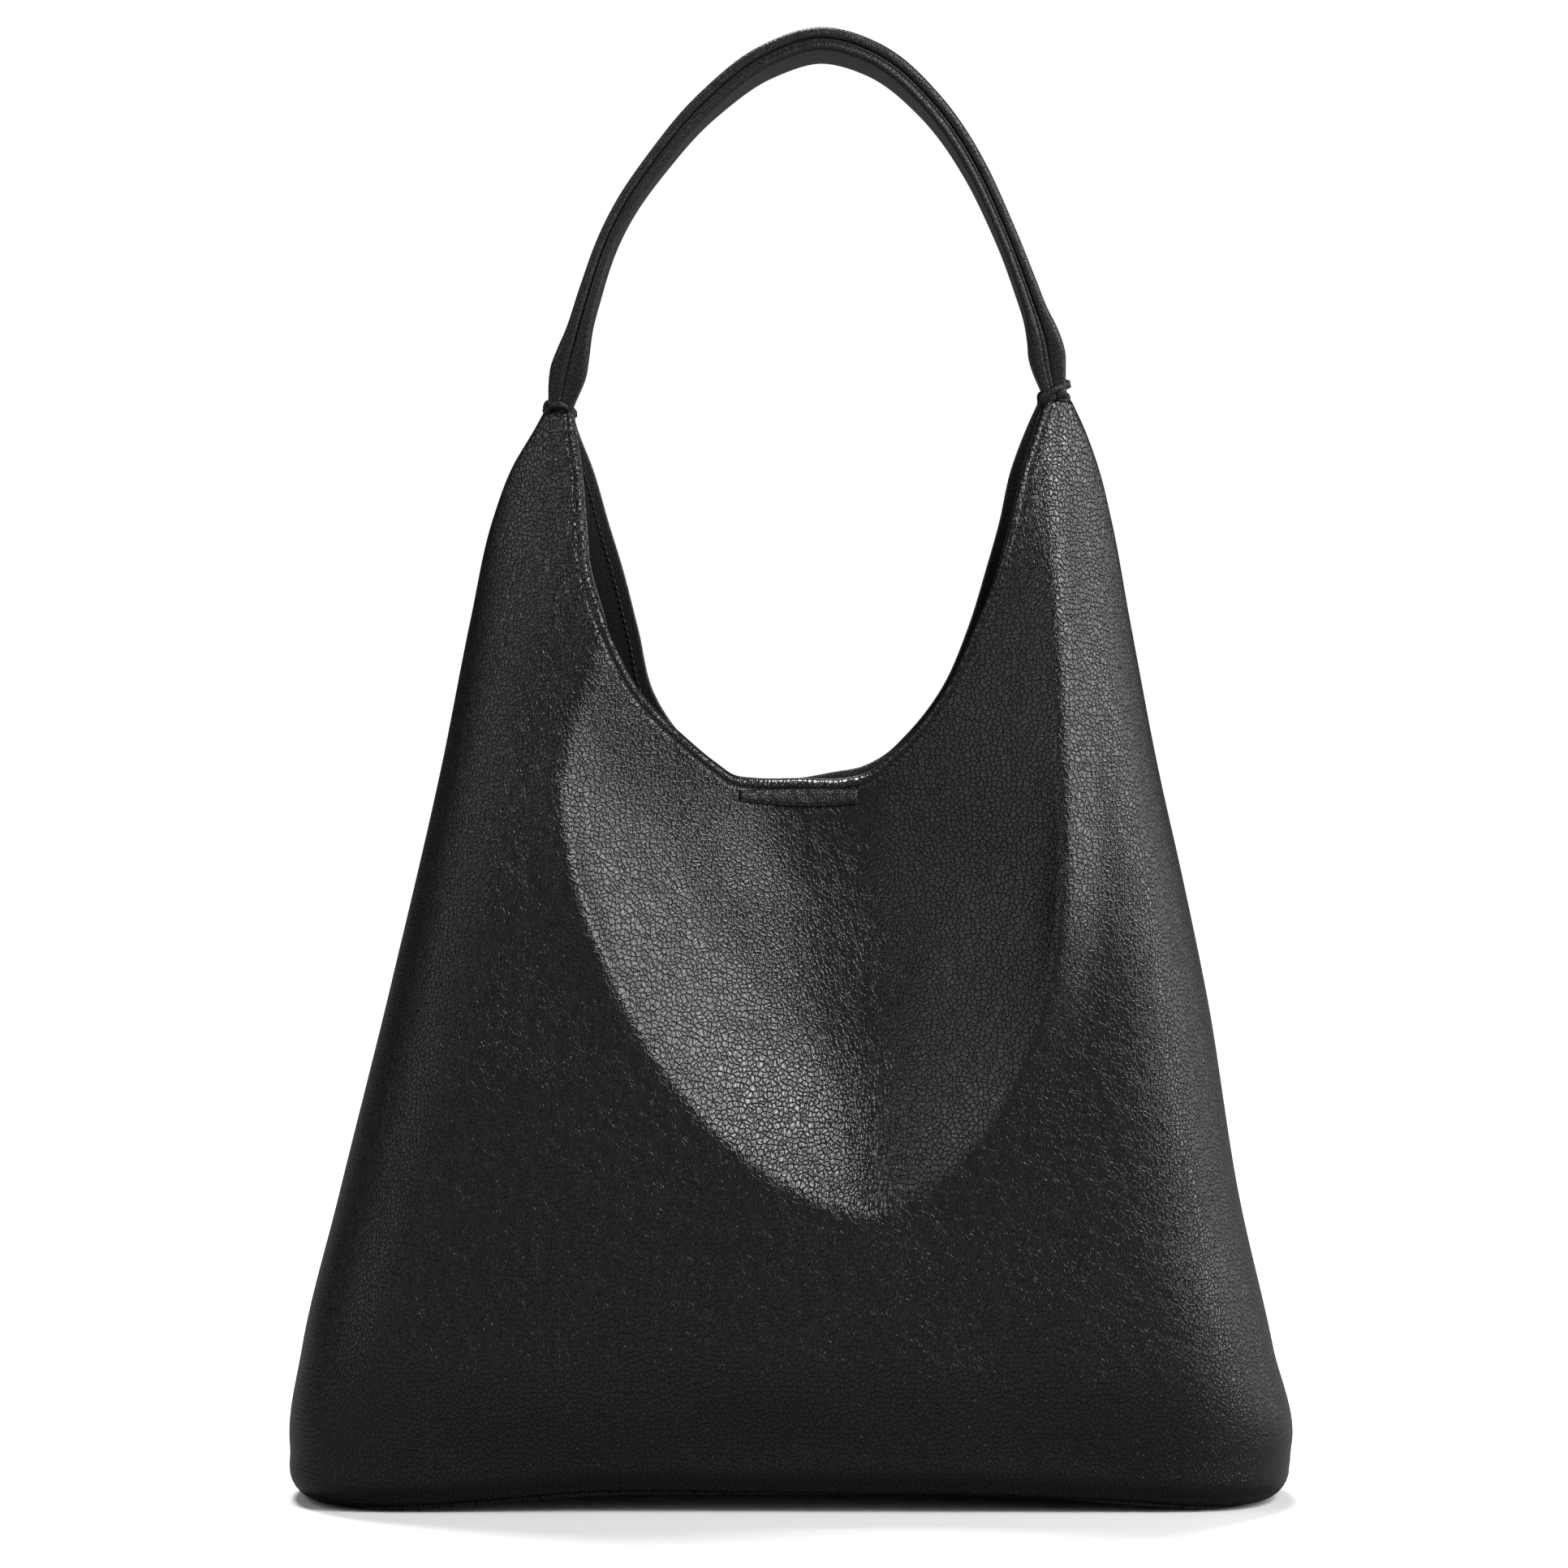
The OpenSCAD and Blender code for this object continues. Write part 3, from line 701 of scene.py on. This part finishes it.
def base_plate(name, inside, z, thick, material):
    """Flat piece of the base, arched with the bag's bottom. inside is its distance from the turn's inner edge."""
    ss = np.sin(np.linspace(-1, 1, 81) * np.pi / 2)
    across = np.linspace(-1, 1, 13)[:, None]
    rounding = round_side(ss, ROLL)
    depth = BASE_HALF * rounding * (1 - (ROLL / DEPTH_Z) ** DEPTH_POWER) - (ROLL + inside) * rounding**UNDER_POWER
    x = np.tile(middle(ROLL) + ss * (half_w(ROLL) - ROLL - inside), (len(across), 1))
    low = np.stack([x, across * depth, z + lift(x, 0 * x)], axis=-1)
    points, faces = sheet_mesh(low, low + [0, 0, thick], rim=0)
    return make(name, points, faces, material, uv=points[:, :2], sharp=40)


shell_front = shell_piece("shell_front", front, front_d, -1)
shell_back = shell_piece("shell_back", back, back_d, 1)
follow(shell_front, lip_share)
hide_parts("front_panel", "front_lip")
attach(shell_back, "bag")
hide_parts("back_panel")

shell_base = base_plate("shell_base", 0.2, 0.0, 1.5, SHELL)
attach(shell_base, "bag")
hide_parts("base_panel")
stiffener = base_plate("base_stiffener", 2, 2.0, 2.4, BOARD)
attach(stiffener, "bag")
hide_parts("base_board")

facing_front = facing_piece("facing_front", front, front_d, -1)
follow(facing_front, lip_share)
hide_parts("facing_front_lip", "facing_front_left", "facing_front_right")
facing_back = facing_piece("facing_rear", back, back_d, 1)
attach(facing_back, "bag")
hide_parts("facing_back")

lining_front = lining_piece("lining_sheet_front", front, front_d, -1, 31)
follow(lining_front, lip_share)
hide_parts("lining_front", "lining_front_lip")


SNAP_X, SNAP_Z = 2.4, 272


def snap_plate(name, node_name, body, way):
    """Thin plate behind the facing that holds one half of the snap."""
    sides = 48
    t = np.linspace(0, 2 * np.pi, sides, endpoint=False)
    squared = (np.abs(np.cos(t)) ** 4 + np.abs(np.sin(t)) ** 4)[:, None] ** 0.25
    edge = np.stack([np.cos(t), np.sin(t)], axis=-1) / squared
    # (radius, depth) from the plate's face, over its rim, to the dimple in its back
    rings = [(5.8, 5.2), (6.0, 5.3), (6.0, 5.5), (5.8, 5.6), (3.4, 5.6), (3.0, 5.45), (0.6, 5.45)]
    verts = [(SNAP_X + r * e[0], way * y, SNAP_Z + r * e[1]) for r, y in rings for e in edge]
    faces = grid_quads(len(rings), sides, wrap_cols=True)
    faces += [list(range(sides)), [(len(rings) - 1) * sides + i for i in range(sides)]]
    plate = make(name, verts, faces, NICKEL, sharp=40)
    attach(plate, body)
    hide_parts(node_name)


snap_plate("snap_plate_front", "snap_stud_plate", "lip", -1)
snap_plate("snap_plate_back", "snap_socket_plate", "bag", 1)

ZIP_WINDOW = (-71.8, 74.2, 191.5, 198.5)
lining_back = lining_piece("lining_sheet_back", back, back_d, 1, 37, window=ZIP_WINDOW)
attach(lining_back, "bag")
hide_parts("lining_back")
lining_base = base_plate("lining_sheet_base", 1, 4.8, 0.6, LINING)
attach(lining_base, "bag")
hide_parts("lining_base")


TAPE_FOOT, TAPE_TOP, TAPE_HALF = 25, 340, 3.4


def side_tape(name, way):
    """Tape over the seam allowances inside one side, from the base up towards the horn."""
    z = np.linspace(TAPE_FOOT, TAPE_TOP, 90)
    side = curve(RIGHT_SIDE if way > 0 else LEFT_SIDE, z)
    across = np.linspace(-1, 1, 9)
    ruffle = 0.25 * lattice(z, 0 * z, 14, 57) + 0.12 * lattice(z, 0 * z + 50, 5, 58)
    x = side[:, None] - way * (4.2 + ruffle[:, None] - 0.5 * across[None] ** 2)
    tape = np.stack([x, np.tile(TAPE_HALF * across, (len(z), 1)), np.tile(z[:, None], (1, len(across)))], axis=-1)
    points, faces = sheet_mesh(tape, tape - [way * LINING_THICK, 0, 0], rim=1)
    return make(name, points, faces, ZIP_CLOTH)


for way, side in ((-1, "left"), (1, "right")):
    tape = side_tape("side_tape_cloth_" + side, way)
    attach(tape, "bag")
    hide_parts("side_tape_" + side)


POUCH = (-78, 78, 70, 202)   # left, right, foot and top of the zip pocket's pouch


def pouch_piece():
    """Slack pouch behind the lining of the back, hung from the zip's tapes."""
    left, right, foot, top = POUCH
    x, z = np.meshgrid(np.linspace(left, right, 61), np.linspace(foot, top, 53))
    rim = np.minimum(np.minimum(x - left, right - x), np.minimum(z - foot, top - z))
    out = 2.0 + 0.3 * lattice(x, z, 24, 61) * step(rim, 0, 12)
    sheet = np.stack([x, depth_at(x, z, back_bowl) - out, z], axis=-1)
    points, faces = sheet_mesh(sheet, sheet - [0, 0.7, 0], rim=1)
    return make("zip_pouch_cloth", points, faces, LINING)


pouch = pouch_piece()
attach(pouch, "bag")
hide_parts("zip_pocket_bag")

# ---------------------------------------------------------------- stitches along the mouth
SEAM_ROW = EDGE_ROWS.index(3.3)


def mouth_stitches(name, grid, way, inside):
    """Stitches along the mouth, on the leather's outside or on the facing's inside."""
    n = normals(grid, -way)
    row = grid.shape[0] - 1 - SEAM_ROW
    if inside:
        line, away = inset(grid, n, TURN_IN + 1.2)[row], -n[row]
    else:
        line, away = grid[row] - n[row] * 0.3, n[row]
    use = line[:, 2] < 428
    points, faces = stitch_row(line[use], away[use], radius=0.4)
    return make(name, points, faces, THREAD)


for name, grid, way, inside in (("stitches_front", front, -1, False), ("stitches_front_inside", front, -1, True),
                                ("stitches_back", back, 1, False), ("stitches_back_inside", back, 1, True)):
    row = mouth_stitches(name, grid, way, inside)
    if way < 0:
        follow(row, lip_share)
    else:
        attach(row, "bag")

# ---------------------------------------------------------------- closure tab
TAB_X = (-20.6, 26.3)
# Lower and upper edge: (x, height)
TAB_LOW = [(-20.6, 277.6), (-12, 276.5), (3, 275.4), (18, 275.8), (26.3, 276.6)]
TAB_HIGH = [(-20.6, 282.2), (3, 282.7), (26.3, 282.5)]


def front_skin(x, z, out):
    """A point on the front at x, z, that far out of it."""
    y = -(depth_at(x, z, front_bowl) + SEAM_GAP / 2)
    s = (x - middle(z)) / half_w(z)
    bump = soft_folds(x, z, FRONT_SEED) * round_side(s, z) * step(MOUTH_Z - z, 4, 40) * SLACK
    return np.stack([x, y - bump - out, z], axis=-1)


def tab_piece():
    """Padded tab with a pinched seam line along its edges."""
    x, v = np.meshgrid(np.linspace(*TAB_X, 95), np.linspace(0, 1, 25))
    low = curve(TAB_LOW, x)
    high = curve(TAB_HIGH, x)
    z = lerp(low, high, v)
    seam = np.minimum(z - low, high - z)
    rim = np.minimum(np.minimum(x - TAB_X[0], TAB_X[1] - x), seam)
    round_rim = np.sqrt(np.clip(1 - (1 - np.clip(rim / 1.1, 0, 1)) ** 2, 0, 1))
    pinch = 0.3 * np.exp(-(((seam - 0.9) / 0.35) ** 2))
    puff = 0.5 * np.sin(np.pi * v) + 0.3 * lattice(x, z * 0.6, 2.3, 71)
    outer = front_skin(x, z, 0.15 + 1.15 * round_rim + puff * round_rim - pinch)
    inner = front_skin(x, z, 0.0)
    points, faces = sheet_mesh(outer, inner, rim=0)
    return make("tab", points, faces, TAB_LEATHER, uv=points[:, [0, 2]])


tab = tab_piece()
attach(tab, "lip")
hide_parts("closure_tab")
xs = np.linspace(TAB_X[0] + 0.6, TAB_X[1] - 0.6, 60)
tab_line = front_skin(xs, curve(TAB_LOW, xs) + 0.8, 1.02)
points, faces = stitch_row(tab_line, np.tile([0.0, -1.0, 0.0], (len(xs), 1)))
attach(make("stitches_tab", points, faces, THREAD), "lip")

# ---------------------------------------------------------------- strap
# Middle line of the band from the left horn to the right one: (x, height)
STRAP_LINE = [(-92.4, 433), (-91.2, 439), (-88.9, 448), (-87, 455), (-81, 477), (-72, 502), (-56, 528), (-33, 554),
              (-10, 571), (11, 577.5), (32, 572), (54.6, 554), (72.7, 528), (85, 502), (94.5, 477), (100.2, 460),
              (102.2, 449), (103.8, 442), (105, 437)]
# Half-thickness and half-width of the band against the height of its middle line
HALF_T = [(430, 4.4), (436, 5.0), (441, 6.0), (448, 6.9), (455, 6.2), (464, 4.9), (480, 4.25), (540, 4.2), (578, 4.7)]
HALF_B = [(430, 5.5), (438, 6.6), (446, 8.6), (458, 11.5), (476, 13.6), (500, 14), (578, 14)]
# Front edge of the band's section: share of the half-thickness, and how far it lies inside the half-width
SECTION_EDGE = [(1.0, 3.0), (0.985, 1.5), (0.9, 0.55), (0.72, 0.1), (0.5, 0.0), (0.3, 0.12), (0.15, 0.45), (0.08, 1.2),
                (0.04, 1.7), (0.0, 1.2), (-0.05, 0.55), (-0.13, 0.3), (-0.2, 0.4), (-0.25, 0.85), (-0.31, 0.5),
                (-0.42, 0.15), (-0.62, 0.0), (-0.8, 0.2), (-0.93, 0.7), (-0.99, 1.6), (-1.0, 3.0)]
STRAP_RINGS = 300
STRAP_TOP = 11       # x of the arch's top
STRAP_HALF = 14      # half-width of the band where it isn't gathered
STRAP_TURN = 8       # degrees by which the band is turned to the front over the top
TIE_SHIFT = 6.5      # the right end is tied off this much higher than the left one


def strap_frames():
    """Middle of each ring of the band, its direction outwards and its direction to the back, turned over the top."""
    line = along(STRAP_LINE, n=STRAP_RINGS)
    ahead = unit(np.gradient(line, axis=0))
    out = np.stack([-ahead[:, 1], ahead[:, 0]], axis=-1)
    roll = np.radians(STRAP_TURN) * np.exp(-(((line[:, 0] - STRAP_TOP) / 52) ** 2))
    centre = np.stack([line[:, 0], np.zeros(len(line)), line[:, 1]], axis=-1)
    normal = np.stack([out[:, 0], np.zeros(len(line)), out[:, 1]], axis=-1)
    depth = np.tile([0.0, 1.0, 0.0], (len(line), 1))
    c, s = np.cos(roll)[:, None], np.sin(roll)[:, None]
    return centre, normal * c + depth * s, depth * c - normal * s, line


def strap_piece():
    """The band with its gathered ends, and the lines of its two seams."""
    centre, normal, depth, line = strap_frames()
    level = line[:, 1] - TIE_SHIFT * (line[:, 0] > STRAP_TOP) * (1 - step(line[:, 1], 465, 500))
    h = curve(HALF_T, level)
    b = curve(HALF_B, level)
    # One ring of the section: share of the half-thickness, side or share of the half-width, distance from the edge
    ring = [(a, -1, inside) for a, inside in SECTION_EDGE]
    ring += [(-1.04, share, None) for share in (-0.45, 0.0, 0.45)]
    ring += [(a, 1, inside) for a, inside in SECTION_EDGE[::-1]]
    ring += [(1.06, share, None) for share in (0.45, 0.0, -0.45)]
    rows, cols = len(line), len(ring)
    grid = np.zeros((rows, cols, 3))
    crush = np.clip(b / STRAP_HALF, 0.4, 1)
    for j, (a, way, inside) in enumerate(ring):
        reach = way * b if inside is None else way * (b - inside * crush)
        grid[:, j] = centre + normal * (h * a)[:, None] + depth * reach[:, None]
    near_end = 1 - step(line[:, 1], 440, 470)
    length = run(centre)
    for j, (a, way, inside) in enumerate(ring):
        wrinkle = lattice(length, np.full(rows, j * 1.3), 2.6, 5) * 0.45 * near_end * (a > 0.2)
        slack = lattice(length, np.full(rows, 3.0 + j * 0.1), 22, 9) * 0.25
        grid[:, j] += normal * slack[:, None] + depth * (way * wrinkle)[:, None]
    points = grid.reshape(-1, 3)
    faces = grid_quads(rows, cols, wrap_cols=True)
    faces.append(list(range(cols)))
    faces.append([(rows - 1) * cols + i for i in range(cols)])
    girth = run(grid[rows // 2])
    uv = np.stack([np.tile(girth, rows), np.repeat(length, cols)], axis=-1)
    band = make("strap_band", points, faces, STRAP, uv=uv)
    seam = centre - normal * (h * 0.25)[:, None]
    reach = depth * (b - 0.85 * crush)[:, None]
    return band, (seam - reach, seam + reach), depth


strap_band, strap_seams, strap_depth = strap_piece()
follow(strap_band, strap_share)
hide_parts("strap_outer", "strap_inner", "strap_core", "strap_end_left", "strap_end_right")

for name, seam, way in (("stitches_strap_front", strap_seams[0], -1), ("stitches_strap_back", strap_seams[1], 1)):
    points, faces = stitch_row(seam, way * strap_depth, radius=0.22, sink=0.05)
    follow(make(name, points, faces, THREAD), strap_share)


# ---------------------------------------------------------------- wraps at the strap's joints
WRAP_WIDE, WRAP_DEEP = 4.7, 5.6   # half-sizes of the wraps' middle line, across and front to back


def wrap_piece(name, middle_x, height, tilt, rise, tall, phase):
    """Folded leather ring that binds a horn's tip into the strap's end.

    tilt raises its right side, rise its front and back. tall is its half-height at the left and at the right.
    """
    around, section = 96, 20
    theta = np.linspace(0, 2 * np.pi, around, endpoint=False)
    c, s = np.cos(theta), np.sin(theta)
    verts = []
    for k in range(around):
        tall_here = lerp(tall[0], tall[1], (c[k] + 1) / 2) * (1 - 0.42 * s[k] ** 2)
        wide = 2.2 + 0.3 * np.sin(3 * theta[k] + phase)
        place = np.array([middle_x + WRAP_WIDE * c[k], WRAP_DEEP * s[k], height + tilt * c[k] + rise * s[k] ** 2])
        out = np.array([c[k], s[k], 0.0])
        for j in range(section):
            t = 2 * np.pi * j / section
            crease = 1 - 0.16 * np.exp(-(((np.sin(t) - 0.1) / 0.22) ** 2)) * (np.cos(t) > 0)
            soft = 1 + 0.07 * np.sin(5 * theta[k] + 2 * t + phase) + 0.05 * np.sin(9 * theta[k] - 3 * t)
            verts.append(place + out * wide * np.cos(t) * crease * soft + [0, 0, tall_here * np.sin(t) * soft])
    uv = [(k * 0.35, j * 0.6) for k in range(around) for j in range(section)]
    faces = grid_quads(around, section, wrap_rows=True, wrap_cols=True)
    return make(name, verts, faces, STRAP, uv=uv)


wrap_left = wrap_piece("wrap_left", -92.5, 432.5, -1.1, 2.6, (3.1, 2.5), 0.4)
wrap_right = wrap_piece("wrap_right", 103.8, 439.7, 3.5, 0.8, (4.0, 2.1), 2.1)
for wrap, neck in ((wrap_left, "horn_neck_left"), (wrap_right, "horn_neck_right")):
    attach(wrap, "bag")
    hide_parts(neck)

# ---------------------------------------------------------------- finish of the CAD nodes that show
FINISH = {
    NICKEL: ["snap_stud_half", "snap_socket_half", "zip_teeth_upper", "zip_teeth_lower",
             "zip_stop_left", "zip_stop_right", "zip_slider", "zip_puller"],
    ZIP_CLOTH: ["zip_tape_upper", "zip_tape_lower"],
    WELT: ["zip_welt"],
}
for material, names in FINISH.items():
    for name in names:
        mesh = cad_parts[name].data
        mesh.materials.clear()
        mesh.materials.append(material)

# ---------------------------------------------------------------- stage, in metres, watts and degrees
FLOOR_HALF = 30
FLOOR_Z = -0.0003
# Area lights: name, place, aim, size, power
LIGHTS = [
    ("key", (1.75, -0.95, 0.7), (0, 0, 0.25), (0.6, 1.2), 22),
    ("key_mid", (1.05, -1.17, 1.5), (0, 0, 0.25), (0.7, 0.7), 32),
    ("key_side", (1.9, -0.2, 0.75), (0, 0, 0.25), (0.6, 1.0), 4),
    ("top_front", (0.0, -1.5, 1.55), (0, 0, 0.35), (0.9, 0.6), 0.5),
    ("rim", (1.6, 0.9, 0.5), (0, 0, 0.25), (0.7, 1.2), 5),
    ("left_soft", (-1.6, -1.1, 0.9), (0, 0, 0.25), (1.6, 1.6), 8),
    ("low_front", (0.2, -1.5, 0.05), (0, 0, 0.35), (1.6, 0.3), 0.4),
    ("left_top", (-1.5, -0.85, 1.9), (0, 0, 0.4), (0.8, 0.8), 8),
]
SUN_POWER, SUN_ANGLE, SUN_WAY = 4.2, 22, (0.12, -0.42, -1)
LENS, SENSOR = 144, 36
CAMERA_AIM, CAMERA_DISTANCE, CAMERA_TILT = (-0.0032, 0, 0.2842), 2.5, 2.0


def face(obj, way):
    """Turn a light or the camera to look that way."""
    obj.rotation_euler = Vector(way).to_track_quat("-Z", "Y").to_euler()


def make_floor():
    """Ground that looks white to the camera and throws little light back at the bag."""
    mesh = bpy.data.meshes.new("floor")
    h = FLOOR_HALF
    mesh.from_pydata([(-h, -h, 0), (h, -h, 0), (h, h, 0), (-h, h, 0)], [], [(0, 1, 2, 3)])
    floor = add_object("floor", mesh)
    floor.location.z = FLOOR_Z
    material, tree, shader = new_material("Floor")
    shader.inputs["Roughness"].default_value = 0.9
    shader.inputs["Specular IOR Level"].default_value = 0.1
    ray = add_node(tree, "ShaderNodeLightPath")
    tone = add_node(tree, "ShaderNodeMix", data_type="RGBA")
    tone.inputs["A"].default_value = (0.13, 0.13, 0.13, 1)
    tone.inputs["B"].default_value = (0.9, 0.9, 0.9, 1)
    tree.links.new(ray.outputs["Is Camera Ray"], tone.inputs["Factor"])
    tree.links.new(tone.outputs["Result"], shader.inputs["Base Color"])
    mesh.materials.append(material)


def surroundings():
    """White to the camera, and nearly dark to the bag."""
    world = bpy.data.worlds.new("Studio")
    bpy.context.scene.world = world
    world.use_nodes = True
    tree = world.node_tree
    ambient = tree.nodes["Background"]
    ambient.inputs["Color"].default_value = (0.9, 0.95, 1, 1)
    ambient.inputs["Strength"].default_value = 0.015
    seen = add_node(tree, "ShaderNodeBackground", {"Color": (1, 1, 1, 1)})
    ray = add_node(tree, "ShaderNodeLightPath")
    mix = add_node(tree, "ShaderNodeMixShader")
    tree.links.new(ray.outputs["Is Camera Ray"], mix.inputs["Fac"])
    tree.links.new(ambient.outputs["Background"], mix.inputs[1])
    tree.links.new(seen.outputs["Background"], mix.inputs[2])
    tree.links.new(mix.outputs["Shader"], tree.nodes["World Output"].inputs["Surface"])


def lights():
    for name, place, aim, size, power in LIGHTS:
        light = bpy.data.lights.new(name, "AREA")
        light.shape = "RECTANGLE"
        light.size, light.size_y = size
        light.energy = power
        obj = add_object(name, light)
        obj.location = place
        face(obj, Vector(aim) - Vector(place))
    sun = bpy.data.lights.new("sun", "SUN")
    sun.energy, sun.angle = SUN_POWER, np.radians(SUN_ANGLE)
    sun_obj = add_object("sun", sun)
    face(sun_obj, SUN_WAY)


def camera():
    data = bpy.data.cameras.new("Camera")
    data.lens, data.sensor_width = LENS, SENSOR
    cam = add_object("Camera", data)
    bpy.context.scene.camera = cam
    aim, tilt = Vector(CAMERA_AIM), np.radians(CAMERA_TILT)
    cam.location = aim + CAMERA_DISTANCE * Vector((0, -np.cos(tilt), np.sin(tilt)))
    face(cam, aim - cam.location)


bpy.context.scene.view_settings.view_transform = "Standard"
make_floor()
surroundings()
lights()
camera()
